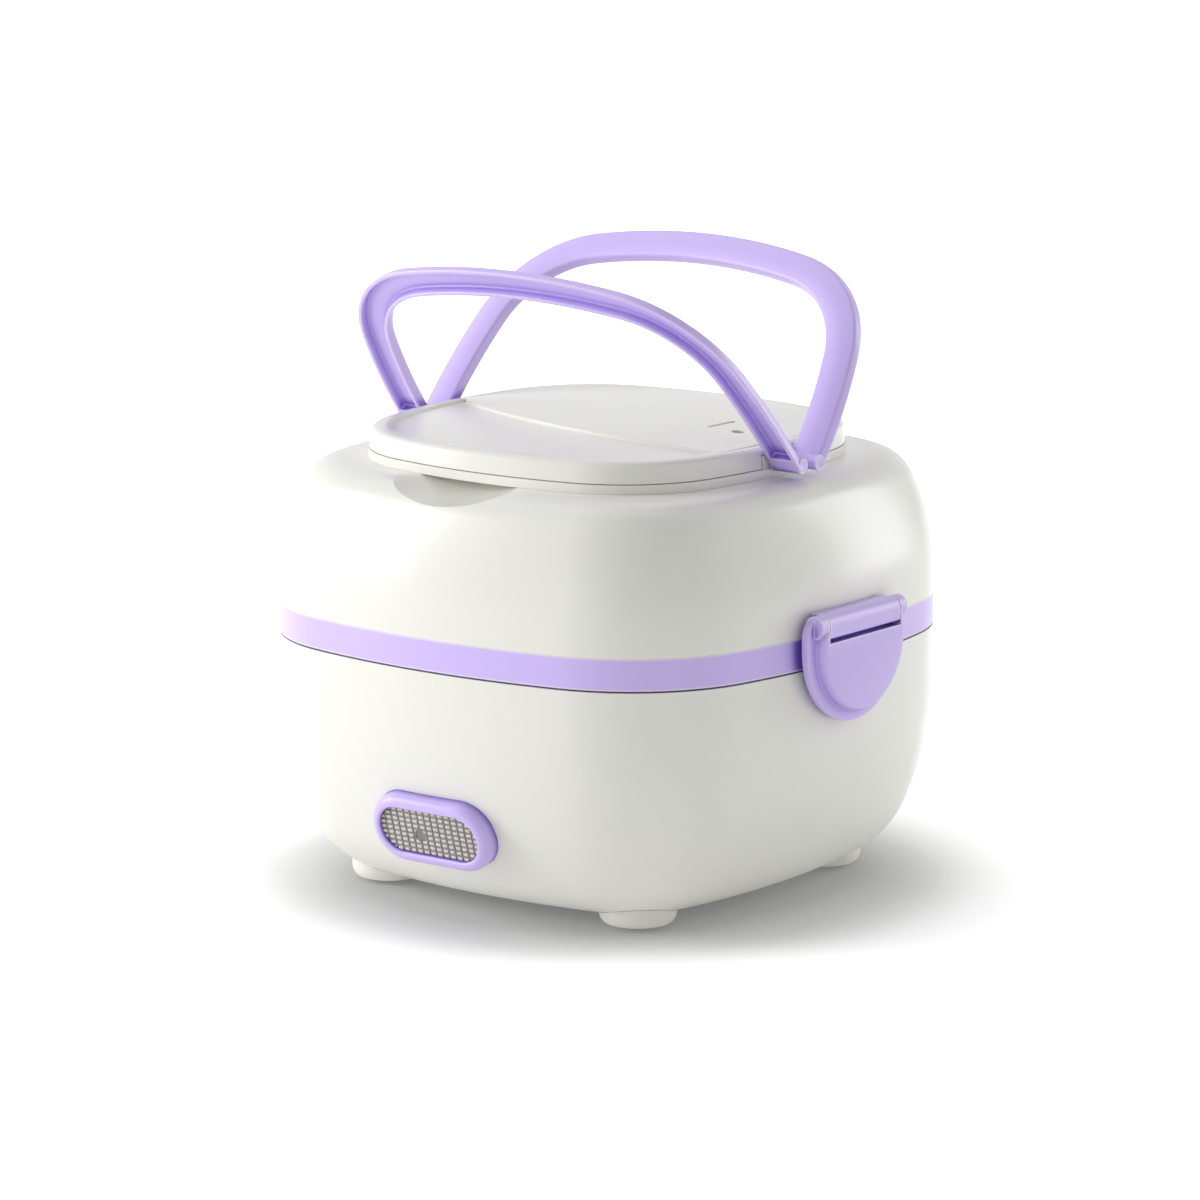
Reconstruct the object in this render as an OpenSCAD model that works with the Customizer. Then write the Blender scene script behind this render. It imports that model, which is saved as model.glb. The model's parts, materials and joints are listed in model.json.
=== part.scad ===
// Electric lunch box: heated base, steel food liner, latched lid and two folding handles.
// Millimetres. +Z is up, the feet stand on z = 0, the indicator faces -Y and the inlet +Y.

/* [Body] */
// Half width of the rounded-square body at its widest
body_half = 85.3; // [84:0.1:92]
// Corner radius of the body outline
body_corner_r = 47; // [45:0.5:50]
// Half angle over which each side of the outline bows
bow_angle = 11.6; // [10:0.1:13]
// Wall of the two moulded body shells
shell_wall = 2.4; // [2:0.1:2.8]
// Height of the body's underside above the table
underside_z = 3; // [2.5:0.1:4]
// Height of the lower shell from underside to rim
base_height = 71.3; // [68:0.1:80]
// Radius of the lower shell's belly
belly_r = 94; // [86:1:120]
// Radius of the lower shell's bottom edge
lower_edge_r = 30; // [28:0.5:32]
// Upright part of the lower shell below its rim
base_upright = 15.8; // [12:0.1:18]

/* [Lid] */
// Dark parting gap between the lower shell and the band
parting_gap = 0.5; // [0.3:0.1:0.9]
// Visible height of the coloured band
band_height = 9.1; // [8:0.1:12]
// Height of the upper shell above the band
lid_height = 41.6; // [39:0.1:48]
// Upright part of the upper shell above the band
lid_upright = 6.1; // [4:0.1:8]
// Radius of the upper shell's inward curve
lid_side_r = 64; // [56:1:80]
// Radius of the upper shell's shoulder
shoulder_r = 12; // [10:0.5:15]
// Depth of the finger scoop under each folded handle
scoop_depth = 5.1; // [3:0.1:6]
// Radius of the ball that shapes the scoop
scoop_r = 48; // [40:1:54]
// Place of the front scoop's middle across the front
scoop_x = -3; // [-10:0.5:10]

/* [Top cap] */
// Half width of the raised cap
cap_half = 62.2; // [60:0.1:62.4]
// Corner radius of the cap outline
cap_corner_r = 36; // [33:0.5:38]
// Height of the thin base ring under the cap
cap_base_h = 2.7; // [2.2:0.1:3.5]
// Seam between base ring and cap
cap_seam = 0.2; // [0.2:0.05:0.4]
// Height of the cap's upright rim
cap_rim_h = 6; // [5.5:0.1:7]
// Wall of the cap
cap_wall = 2; // [1.6:0.1:2.4]
// Rise of the domed middle above the rim
dome_rise = 3.1; // [2:0.1:4]
// Ball radius of the dome
dome_r = 600; // [500:10:900]
// Depth of the crescent step along the front of the dome
crescent_depth = 0.9; // [0.6:0.1:1.2]
// Radius of the leaf-shaped edge behind the crescent
leaf_r = 118; // [112:1:126]
// How far in front of the middle the leaf's edge comes
leaf_low = 27; // [24:0.5:30]

/* [Handles] */
// Clearance between a folded handle and the cap's outline
handle_clearance = 0.8; // [0.6:0.1:1.6]
// Corner radius of the handle loop
handle_corner_r = 40.4; // [38:0.2:43]
// Width of the handle strap
strap_w = 10.2; // [9:0.1:10.4]
// Thickness of the handle strap
strap_t = 3.9; // [3.5:0.1:4.5]
// Wall of the strap's open channel
strap_wall = 1.8; // [1.6:0.1:2.2]
// Depth of the strap's open channel
channel_depth = 2.3; // [1.6:0.1:2.5]
// Distance of the two handle pivots from the middle plane
pivot_y = 4.1; // [4:0.1:5.5]
// Height of the handle pivots above the upper shell
pivot_rise = 4.15; // [3.8:0.05:4.6]
// Lean of each handle from upright as stored
handle_lean = 39; // [30:1:50]
// Radius of the handle pins
handle_pin_r = 1.5; // [1.3:0.05:1.7]
// Radius of the rounded foot around each handle pin
handle_foot_r = 2.4; // [2.3:0.05:3]

/* [Latches] */
// Half width of a latch flap
latch_half = 23.4; // [22:0.1:25]
// Height of a latch flap's straight part above its half round
latch_straight = 9.9; // [9:0.1:11]
// Height of the latch pin above the top of the band
latch_pin_rise = 3.7; // [3.5:0.05:4]
// Distance of the latch pin from the body side
latch_pin_out = 3.6; // [3.5:0.05:4]
// Radius of the rounded ears around the latch pin
latch_ear_r = 3.3; // [3.1:0.05:3.4]
// Radius of the latch pins
latch_pin_r = 1.25; // [1:0.05:1.4]
// Half width of the hinge block in the flap's notch
block_half = 17.3; // [15:0.1:18]
// Step from the flap's rim to its raised face
latch_step = 3.4; // [2.8:0.1:4]
// Wall of the flap
latch_wall = 1.9; // [1.6:0.1:2.2]

/* [Indicator and inlet] */
// Height of the indicator's centre
indicator_z = 27.9; // [26:0.1:30]
// Half length of the straight part of bezel and lens
indicator_reach = 10.5; // [8:0.1:12]
// Radius of the bezel's round ends
bezel_r = 10.5; // [9.5:0.1:11]
// Radius of the lens's round ends
lens_r = 6.6; // [5.5:0.1:7]
// How far the bezel stands out of the wall
bezel_out = 4.4; // [3:0.1:5]
// Downward tilt of the indicator
indicator_tilt = 16; // [10:1:20]
// Height of the inlet's centre
inlet_z = 21.5; // [21:0.1:23]
// Half width of the inlet's straight part
inlet_reach = 4.3; // [4:0.1:4.6]
// Radius of the round ends of the inlet's cavity
inlet_r = 4.5; // [4.2:0.1:4.8]
// Depth of the inlet's cavity
inlet_depth = 11; // [10:0.5:12]

/* [Inside] */
// Gap from the outline to the tub's wall
tub_inset = 9.4; // [9:0.1:10.5]
// Wall of the tub
tub_wall = 1.8; // [1.5:0.1:2]
// Bottom edge radius of the tub
tub_edge_r = 26.5; // [25:0.5:28]
// Height of the tub's floor above the underside
tub_floor_rise = 19; // [18:0.1:20]
// How far the heating plate reaches over the start of the tub's edge
plate_lap = 0.2; // [-1:0.1:0.3]
// Gap from the outline to the liner's wall
liner_inset = 12.4; // [12:0.1:13.5]
// Sheet thickness of the steel liner
liner_wall = 0.8; // [0.6:0.1:1]
// Bottom edge radius of the liner
liner_edge_r = 24; // [23:0.5:25]
// Radius of the liner's rolled rim
liner_bead_r = 1.1; // [0.9:0.05:1.2]
// Radius of the bottom cover
cover_r = 47; // [45:0.5:47.5]
// Distance of each foot from the middle planes
foot_at = 45.6; // [44.5:0.1:47]
// Radius of the feet
foot_r = 11.2; // [10:0.1:12]

/* [Hidden] */
$fn = 96;
fine = 360;
eps = 0.01;

shell_white = "#F0F0E8";
lavender = "#C9B4F2";
silicone_grey = "#D8D8D8";

// Heights, all built up from the table
rim_z = underside_z + base_height;
band_z = rim_z + parting_gap;
band_top = band_z + band_height;
top_z = band_top + lid_height;
cap_base_top = top_z + cap_base_h;
cap_z = cap_base_top + cap_seam;
cap_top = cap_z + cap_rim_h;
pivot_z = top_z + pivot_rise;
tub_floor = underside_z + tub_floor_rise;

// Depth inward to which the swept shells reach; flat plates close the middle
sweep_depth = 40;
plate_inset = 37.5;

// ---------- outline: a square with bowed sides and round corners ----------
function bow(h, r2) = (h - r2) / (1 - cos(bow_angle) + sin(bow_angle));
function corner_at(h, r2) = bow(h, r2) * sin(bow_angle);
function turned(p, q) = [p[0] * cos(q) - p[1] * sin(q), p[0] * sin(q) + p[1] * cos(q)];
function arc(x, y, r, a0, a1, n) = [for (i = [0:n]) let(a = a0 + (a1 - a0) * i / n) [x + r * cos(a), y + r * sin(a)]];
function reversed(v) = [for (i = [len(v) - 1:-1:0]) v[i]];

// One quarter of the outline at offset d, from the middle of a side round the next corner
function quarter(h, r2, d, n) =
  let(r1 = r2 + bow(h, r2), c = corner_at(h, r2))
  concat(arc(h - r1, 0, r1 + d, -bow_angle * (n - 1) / n, bow_angle * (n - 1) / n, n),
         arc(c, c, r2 + d, bow_angle, 90 - bow_angle, 2 * n));
function outline(h, r2, d, n = 3) = [for (q = [0:3]) each [for (p = quarter(h, r2, d, n)) turned(p, 90 * q)]];

// Moves by whole thousandths and then by the rest, so neighbouring segments meet closely
function thousandths(v) = floor(v * 1000) / 1000;
module shift(x, y = 0) {
  translate([thousandths(x), thousandths(y)])
    translate([x - thousandths(x), y - thousandths(y)]) children();
}

// Sweeps a profile drawn as [offset from the outline, height] round the chosen sides and corners
module sweep(h, r2, sides = [0:3], corners = [0:3]) {
  r1 = r2 + bow(h, r2);
  c = corner_at(h, r2);
  for (q = sides) rotate([0, 0, 90 * q]) shift(h - r1)
    rotate_extrude(angle = 2 * bow_angle, start = -bow_angle, $fn = fine) shift(r1) children();
  for (q = corners) rotate([0, 0, 90 * q]) shift(c, c)
    rotate_extrude(angle = 90 - 2 * bow_angle, start = bow_angle) shift(r2) children();
}

module body_sweep(sides = [0:3], corners = [0:3]) {
  sweep(body_half, body_corner_r, sides, corners) children();
}

module body_plate(d, z, t) {
  translate([0, 0, z]) linear_extrude(t) polygon(outline(body_half, body_corner_r, -d));
}

// ---------- profiles of the two shells, inset by i ----------
belly_z = rim_z - base_upright;
belly_sin = (belly_z - lower_edge_r - underside_z) / (belly_r - lower_edge_r);
belly_a = asin(belly_sin);
edge_x = -belly_r + (belly_r - lower_edge_r) * cos(belly_a);
function lower_curve(i) = concat(
  [[-i, rim_z]],
  arc(-belly_r, belly_z, belly_r - i, 0, -belly_a, 4),
  arc(edge_x, underside_z + lower_edge_r, lower_edge_r - i, -belly_a - 6, -90, 9),
  [[-sweep_depth, underside_z + i]]);

side_z = band_top + lid_upright;
side_sin = (top_z - shoulder_r - side_z) / (lid_side_r - shoulder_r);
side_a = asin(side_sin);
shoulder_x = -lid_side_r + (lid_side_r - shoulder_r) * cos(side_a);
function upper_curve(i) = concat(
  [[-i, band_top]],
  arc(-lid_side_r, side_z, lid_side_r - i, 0, side_a, 5),
  arc(shoulder_x, top_z - shoulder_r, shoulder_r - i, side_a + 7, 90, 8),
  [[-sweep_depth, top_z - i]]);

// ---------- base ----------
cover_t = 2.4;
cover_seat = cover_t + 0.1;
cover_gap = 0.3;
ledge_r = 39;
ledge_t = 2.4;
cover_screw_r = 43;
screw_boss_r = 3.2;
screw_r = 1.4;
tub_flange_t = 1.8;
tub_flange_top = rim_z - 0.3;
tub_seat_z = tub_flange_top - tub_flange_t - 0.1;
catch_half = 6;
catch_z = rim_z - 9.3;
catch_h = 2;
catch_out = 1.3;
hook_slip = 0.25;
hook_gap = 0.4;

function wall_y(z) = z > belly_z ? body_half
  : body_half - belly_r + sqrt(pow(belly_r, 2) - pow(belly_z - z, 2));
indicator_wall = wall_y(indicator_z);

module place_indicator() {
  translate([0, -indicator_wall, indicator_z]) rotate([90 + indicator_tilt, 0, 0]) children();
}

// A bar with round ends, along X, standing on its own plane
module stadium(reach, r, t) {
  for (s = [-1, 1]) translate([s * reach, 0, 0]) cylinder(r = r, h = t);
  translate([-reach, -r, 0]) cube([2 * reach, 2 * r, t]);
}

inlet_wall = 2;
inlet_face = body_half - 2.3;
inlet_body_r = inlet_r + inlet_wall;
boss_wall = 2.4;
boss_depth = 10;
module place_inlet() {
  translate([0, inlet_face, inlet_z]) rotate([-90, 0, 0]) children();
}

module base_housing() {
  color(shell_white) difference() {
    union() {
      body_sweep() {
        polygon(concat(lower_curve(0), reversed(lower_curve(shell_wall))));
        translate([-shell_wall - 1.6, tub_seat_z - 2]) square([1.7, 2]);
      }
      body_plate(plate_inset, underside_z, cover_seat + ledge_t);
      for (a = [45:90:315]) rotate([0, 0, a]) translate([cover_screw_r, 0, underside_z + cover_seat])
        cylinder(r = screw_boss_r, h = 8.5);
      for (q = [0, 180]) rotate([0, 0, q])
        translate([body_half - shell_wall / 2, -catch_half, catch_z])
          cube([shell_wall / 2 + catch_out, 2 * catch_half, catch_h]);
      place_inlet() translate([0, 0, -boss_depth]) stadium(inlet_reach, inlet_body_r + boss_wall, boss_depth);
    }
    translate([0, 0, underside_z - 1]) cylinder(r = cover_r + cover_gap, h = cover_seat + 1);
    cylinder(r = ledge_r, h = underside_z + 10);
    for (a = [45:90:315]) rotate([0, 0, a]) translate([cover_screw_r, 0, underside_z])
      cylinder(r = screw_r, h = 9.5);
    place_indicator() translate([0, 0, -12]) stadium(indicator_reach, bezel_r + 0.1, 30);
    place_inlet() translate([0, 0, -12]) stadium(inlet_reach, inlet_body_r + 0.1, 30);
  }
}

module bottom_cover() {
  color(shell_white) difference() {
    union() {
      translate([0, 0, underside_z]) cylinder(r = cover_r, h = cover_t);
      translate([0, 0, underside_z]) cylinder(r = ledge_r - cover_gap, h = cover_seat + ledge_t);
    }
    translate([0, 0, underside_z + cover_t]) cylinder(r = ledge_r - cover_gap - 1.6, h = 10);
    for (a = [45:90:315]) rotate([0, 0, a]) translate([cover_screw_r, 0, 0]) {
      cylinder(r = screw_r + 0.15, h = 10);
      cylinder(r = 2.8, h = underside_z + 1.5);
    }
    for (r = [16, 26]) translate([0, 0, underside_z - 1]) difference() {
      cylinder(r = r + 1, h = 1.5);
      translate([0, 0, -1]) cylinder(r = r, h = 4);
    }
  }
}

module screw(head_r, head_h, shank_r, length) {
  cylinder(r = head_r, h = head_h);
  cylinder(r = shank_r, h = length);
}

module base_screws() {
  color("silver") for (a = [45:90:315]) rotate([0, 0, a])
    translate([cover_screw_r, 0, underside_z + 0.1]) screw(2.6, 1.35, screw_r - 0.02, 9);
}

// Each foot is a flat-bottomed dome, trimmed to sit against the curved lower shell
module feet() {
  foot_edge = 3.6;
  foot_gap = 0.05;
  color(shell_white) for (q = [0:3]) rotate([0, 0, 90 * q]) difference() {
    translate([foot_at, foot_at, 0]) rotate_extrude()
      polygon(concat([[0, 0]], arc(foot_r - foot_edge - 2.4, foot_edge, foot_edge, -90, -60, 2),
        arc(foot_r - foot_edge, foot_edge + 0.5, foot_edge, -55, 0, 4), [[foot_r, 9], [0, 9]]));
    shift(corner_at(body_half, body_corner_r), corner_at(body_half, body_corner_r)) rotate_extrude()
      polygon(concat([for (p = lower_curve(-foot_gap)) [body_corner_r + p[0], p[1]]],
        [[0, underside_z - foot_gap], [0, rim_z]]));
  }
}

// ---------- tub, plate and heater ----------
tub_edge_z = tub_floor + tub_edge_r;
function tub_curve(i) = concat(
  [[-tub_inset - i, tub_flange_top - tub_flange_t]],
  arc(-tub_inset - tub_edge_r, tub_edge_z, tub_edge_r - i, 0, -90, 9),
  [[-sweep_depth, tub_floor + i]]);

plate_r = body_half - tub_inset - tub_edge_r + plate_lap;
plate_hole_r = plate_r - 5;
module inner_tub() {
  color("gainsboro") difference() {
    union() {
      body_sweep() {
        polygon(concat(tub_curve(0), reversed(tub_curve(tub_wall))));
        translate([-tub_inset - tub_wall, tub_flange_top - tub_flange_t - eps])
          square([tub_inset + tub_wall - shell_wall - 0.2, tub_flange_t + eps]);
      }
      body_plate(plate_inset, tub_floor, tub_wall);
    }
    translate([0, 0, tub_floor - 1]) cylinder(r = plate_hole_r, h = 4);
  }
}

seal_t = 1;
plate_under = tub_floor + tub_wall + seal_t;
plate_flange_t = 1.5;
plate_top = plate_under + plate_flange_t;
plate_body_h = 7.2;
heater_z = plate_top - plate_body_h;
clamp_screw_x = 26;
module heating_plate() {
  color("silver") difference() {
    union() {
      translate([0, 0, plate_under]) cylinder(r = plate_r, h = plate_flange_t - 0.3);
      translate([0, 0, plate_under]) cylinder(r = plate_r - 1.2, h = plate_flange_t);
      translate([0, 0, heater_z + 3.2]) cylinder(r = plate_hole_r - 0.5, h = plate_body_h - 3.2);
      for (x = [-1, 1]) translate([x * clamp_screw_x, 0, heater_z]) cylinder(r = 4, h = 4);
    }
    for (r = [14, 24, 34]) translate([0, 0, plate_top - 0.4]) difference() {
      cylinder(r = r + 1.2, h = 2);
      translate([0, 0, -1]) cylinder(r = r, h = 4);
    }
    for (x = [-1, 1]) translate([x * clamp_screw_x, 0, heater_z - 1]) cylinder(r = 1.25, h = 5);
  }
}

module plate_seal() {
  color(silicone_grey) translate([0, 0, tub_floor + tub_wall + 0.02]) difference() {
    cylinder(r = plate_r - 0.4, h = seal_t - 0.04);
    translate([0, 0, -1]) cylinder(r = plate_hole_r + 0.4, h = 4);
  }
}

heater_w = 40;
heater_d = 22;
heater_t = 4;
heater_top = heater_z + 3.2;
terminal_half = 4;
terminal_l = 4;
module ptc_heater() {
  color("silver") translate([-heater_w / 2, -heater_d / 2, heater_top - heater_t - 0.02])
    cube([heater_w, heater_d, heater_t]);
  color("white") for (q = [0, 180]) rotate([0, 0, q]) translate([-terminal_half, heater_d / 2, heater_top - 2.4])
    cube([2 * terminal_half, terminal_l, 0.8]);
}

clamp_t = 1;
clamp_z = heater_z - clamp_t - 0.82;
clamp_half = 5;
module heater_clamp() {
  reach = clamp_screw_x + clamp_half;
  color("lightgrey") difference() {
    union() {
      translate([-reach, -clamp_half, clamp_z]) cube([2 * reach, 2 * clamp_half, clamp_t]);
      for (x = [-1, 1]) translate([x * clamp_screw_x - clamp_half, -clamp_half, clamp_z])
        cube([2 * clamp_half, 2 * clamp_half, clamp_t + 0.8]);
    }
    for (x = [-1, 1]) translate([x * clamp_screw_x, 0, clamp_z - 1]) cylinder(r = 1.6, h = 5);
  }
}

module heater_screws() {
  color("silver") for (x = [-1, 1]) translate([x * clamp_screw_x, 0, clamp_z - 1.7])
    screw(2.6, 1.65, 1.22, 5.4);
}

disc_at = [0, -heater_d / 2 - 17];
tab_x = 5;
tab_w = 3;
module thermostat() {
  color("dimgray") translate([disc_at[0], disc_at[1], heater_top - 6.5])
    cylinder(r = 8, h = 6.45);
  color("silver") for (x = [-1, 1]) translate([x * tab_x - tab_w / 2, disc_at[1] - 3, heater_top - 9.5])
    cube([tab_w, 6, 3.1]);
}

fuse_l = 24;
fuse_at = [-fuse_l / 2, heater_d / 2 + 16];
module thermal_fuse() {
  color("ivory") translate([fuse_at[0], fuse_at[1], heater_top - 2.6]) rotate([0, 90, 0])
    cylinder(r = 2.5, h = fuse_l);
}

// ---------- inlet ----------
inlet_back = inlet_depth + 2;
inlet_pin_x = 4.3;
module power_inlet() {
  color("#2B2B2B") place_inlet() difference() {
    union() {
      translate([0, 0, -inlet_back]) stadium(inlet_reach, inlet_body_r, inlet_back - 0.3);
      translate([-14.5, -2.5, -boss_depth - 2.1]) cube([29, 5, 2]);
    }
    translate([0, 0, -inlet_depth]) stadium(inlet_reach, inlet_r, inlet_depth + 1);
    for (x = [-1, 1]) translate([x * inlet_pin_x, 0, -inlet_back - 1]) cylinder(r = 1.2, h = 4);
  }
}

module inlet_pins() {
  color("silver") place_inlet() for (x = [-1, 1]) translate([x * inlet_pin_x, 0, -inlet_back - 4])
    cylinder(r = 1.18, h = inlet_back + 2.5);
}

// ---------- leads: insulated wire run smoothly through hand-placed points ----------
lead_r = 1.1;
lead_sides = 8;
function along(p, i, t) =
  let(a = p[max(i - 1, 0)], b = p[i], c = p[i + 1], d = p[min(i + 2, len(p) - 1)])
  b + (c - a) * t / 2 + (2 * a - 5 * b + 4 * c - d) * t * t / 2 + (3 * b - a - 3 * c + d) * t * t * t / 2;
function route(p, n = 4) = concat([for (i = [0:len(p) - 2], k = [0:n - 1]) along(p, i, k / n)], [p[len(p) - 1]]);
function unit(v) = v / norm(v);
module wire(points) {
  path = route(points);
  last = len(path) - 1;
  m = lead_sides;
  rings = [for (i = [0:last])
    let(t = unit(path[min(i + 1, last)] - path[max(i - 1, 0)]), u = unit(cross(t, [0, 0, 1])), v = cross(t, u))
    for (k = [0:m - 1]) path[i] + lead_r * (u * cos(360 * k / m) + v * sin(360 * k / m))];
  sides = [for (i = [0:last - 1], k = [0:m - 1])
    let(a = i * m + k, b = i * m + (k + 1) % m)
    each [[a, a + m, b + m], [a, b + m, b]]];
  polyhedron(rings, concat(sides, [[for (k = [0:m - 1]) k]], [[for (k = [m - 1:-1:0]) last * m + k]]));
}

// Each lead leaves and meets a face square to it, by a short straight stretch that stops just off it
lead_gap = 0.3;
lead_stub = 2;
function leaving(p, away) = [for (part = [0, 0.5, 1]) p + (lead_gap + part * lead_stub) * away];
function meeting(p, away) = reversed(leaving(p, away));

lead_z = underside_z + 7.5;
pin_end_y = inlet_face - inlet_back - 4;
fuse_z = heater_top - 2.6;
disc_z = heater_top - 8;
function inlet_pin_end(s) = [s * inlet_pin_x, pin_end_y, inlet_z];
function fuse_end(s) = [s > 0 ? fuse_at[0] + fuse_l : fuse_at[0], fuse_at[1], fuse_z];
function disc_tab(s) = [s * (tab_x + tab_w / 2), disc_at[1], disc_z];
function terminal(x, s) = [x, s * (heater_d / 2 + terminal_l), heater_top - 2];
terminal_x = 2.2;

module live_lead() {
  color("saddlebrown") wire(concat(leaving(inlet_pin_end(1), [0, -1, 0]),
    [[7, pin_end_y - 7, lead_z + 6], [16, pin_end_y - 16, lead_z + 2], [22, 38, lead_z], [20, 29.5, lead_z + 5]],
    meeting(fuse_end(1), [1, 0, 0])));
  color("saddlebrown") wire(concat(leaving(fuse_end(-1), [-1, 0, 0]),
    [[-19.5, 24, lead_z + 5], [-14, 20.3, lead_z + 4], [-6, 20.5, lead_z + 8]],
    meeting(terminal(-terminal_x, 1), [0, 1, 0])));
}

module neutral_lead() {
  color("steelblue") wire(concat(leaving(inlet_pin_end(-1), [0, -1, 0]),
    [[-8, pin_end_y - 7, lead_z + 6], [-18, pin_end_y - 14, lead_z + 1.5], [-34, 42, lead_z], [-42, 26, lead_z],
     [-41, 2, lead_z], [-32, -18, lead_z + 1], [-18, disc_at[1] - 1, disc_z - 0.8]],
    meeting(disc_tab(-1), [-1, 0, 0])));
  color("steelblue") wire(concat(leaving(disc_tab(1), [1, 0, 0]),
    [[12.5, disc_at[1] + 4, lead_z + 4], [9, disc_at[1] + 8.6, lead_z + 8]],
    meeting(terminal(terminal_x, -1), [0, -1, 0])));
}

board_back = 5.8;
inward = [0, cos(indicator_tilt), sin(indicator_tilt)];
function board_end(x) = [x, -indicator_wall, indicator_z] + board_back * inward;
module lamp_lead() {
  color("gold") wire(concat(leaving(board_end(-1.5), inward),
    [[-4, 12 - indicator_wall, indicator_z - 7], [-10, -53, lead_z + 2.5], [-13, -42, lead_z - 0.7],
     [-13, disc_at[1] - 2, lead_z - 0.7], [-11, disc_at[1] + 6.5, lead_z + 3], [-6, disc_at[1] + 8.7, lead_z + 8]],
    meeting(terminal(-terminal_x, -1), [0, -1, 0])));
  color("gold") wire(concat(leaving(board_end(1.5), inward),
    [[5, 12 - indicator_wall, indicator_z - 7], [20, -54, lead_z + 1.5], [38, -34, lead_z], [42, -14, lead_z],
     [39, 10, lead_z], [26, 19.5, lead_z + 1], [9, 20.5, lead_z + 7]],
    meeting(terminal(terminal_x, 1), [0, 1, 0])));
}

// ---------- indicator ----------
bezel_back = 6;
bezel_edge = 2.4;
module bezel_section() {
  inner = lens_r + 0.15;
  polygon(concat([[inner, bezel_out - 0.5], [inner, -bezel_back], [bezel_r, -bezel_back]],
    arc(bezel_r - bezel_edge, bezel_out - bezel_edge, bezel_edge, 0, 90, 6), [[inner + 0.5, bezel_out]]));
}

module indicator_bezel() {
  color(lavender) place_indicator() {
    for (s = [0, 180]) rotate([0, 0, s]) translate([indicator_reach, 0, 0]) rotate([0, 0, -90])
      rotate_extrude(angle = 180) bezel_section();
    for (s = [0, 180]) rotate([0, 0, s]) translate([indicator_reach, 0, 0]) rotate([90, 0, -90])
      linear_extrude(2 * indicator_reach) bezel_section();
  }
}

lens_front = 2.6;
groove_pitch = 2.3;
groove_w = 0.6;
module indicator_lens() {
  color("#A8A39A") place_indicator() difference() {
    translate([0, 0, -1.4]) stadium(indicator_reach, lens_r, lens_front + 1.4);
    for (k = [-7:7]) translate([k * groove_pitch - groove_w / 2, -lens_r - 1, lens_front - 0.4])
      cube([groove_w, 2 * lens_r + 2, 2]);
    for (k = [-2:2]) translate([-indicator_reach - lens_r - 1, k * groove_pitch - groove_w / 2, lens_front - 0.4])
      cube([2 * (indicator_reach + lens_r + 1), groove_w, 2]);
  }
}

// The lamp on its small board, held inside the bezel's skirt
module indicator_lamp() {
  color("orangered") place_indicator() {
    translate([0, 0, -board_back]) stadium(indicator_reach, lens_r, 1.2);
    translate([0, 0, -board_back + 1]) cylinder(r = 2.5, h = board_back - 2.7);
  }
}

// ---------- liner ----------
liner_z = plate_top + 0.3;
bead_inset = 5.5;
bead_z = tub_flange_top + 0.2 + liner_bead_r;
function liner_curve(i) = concat(
  arc(-liner_inset - liner_edge_r, liner_z + liner_edge_r, liner_edge_r - i, 0, -90, 8),
  [[-sweep_depth, liner_z + i]]);
module steel_liner() {
  flange_low = bead_z - liner_wall / 2;
  bead_a = 180 - asin(liner_wall / 2 / liner_bead_r);
  color("silver") {
    body_sweep() polygon(concat(
      [[-liner_inset, flange_low]], liner_curve(0), reversed(liner_curve(liner_wall)),
      [[-liner_inset - liner_wall, flange_low + liner_wall]],
      arc(-bead_inset, bead_z, liner_bead_r, bead_a, -bead_a, 12)));
    body_plate(plate_inset, liner_z, liner_wall);
  }
}

// ---------- lid ----------
tongue_t = 1.8;
tongue_gap = 0.1;
tongue_h = 4;
latch_x = body_half + latch_pin_out;
latch_z = band_top + latch_pin_rise;
block_r = latch_ear_r - 0.1;
block_low = band_top - 0.1;
block_fillet = 1.2;

// Side view of the hinge block, as [outward, up] from the latch pin
module block_side() {
  low = block_low - latch_z;
  back = -latch_pin_out + 0.2;
  circle(block_r);
  translate([back, low]) square([-back, block_r - low]);
  translate([0, low + block_fillet]) square([block_r, -low - block_fillet]);
  translate([0, low]) square([block_r - block_fillet, block_fillet]);
  translate([block_r - block_fillet, low + block_fillet]) circle(block_fillet);
  translate([-latch_pin_out - 1.5, low - 5.2]) square([latch_pin_out + 1.2, 5.2 + eps]);
}

// Draws a side view across the latch: outward along X, centred on the pin
module across_latch(half) {
  translate([latch_x, half, latch_z]) rotate([90, 0, 0]) linear_extrude(2 * half) children();
}

module trim_band() {
  step_z = band_z + 4.2;
  color(lavender) difference() {
    union() {
      body_sweep() {
        translate([-shell_wall, band_z]) square([shell_wall, band_height]);
        translate([-shell_wall - tongue_t - tongue_gap, step_z])
          square([shell_wall + tongue_t, band_top - step_z - eps]);
        translate([-shell_wall - tongue_t - tongue_gap, step_z])
          square([tongue_t, band_top + tongue_h - step_z]);
      }
      for (q = [0, 180]) rotate([0, 0, q]) across_latch(block_half) block_side();
    }
    for (q = [0, 180]) rotate([0, 0, q]) translate([latch_x, block_half + 1, latch_z]) rotate([90, 0, 0])
      cylinder(r = latch_pin_r + 0.02, h = 2 * block_half + 2);
  }
}

latch_pin_half = block_half + 3.6;
module latch_pins() {
  color("silver") for (q = [0, 180]) rotate([0, 0, q])
    translate([latch_x, latch_pin_half, latch_z]) rotate([90, 0, 0])
      cylinder(r = latch_pin_r, h = 2 * latch_pin_half);
}

// The rear scoop is the front one's twin, turned about Z
module scoop_ball(r) {
  for (s = [-1, 1])
    translate([-s * scoop_x, s * (cap_half + 11.5), top_z - scoop_depth + scoop_r]) sphere(r = r, $fn = fine / 2);
}

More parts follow.
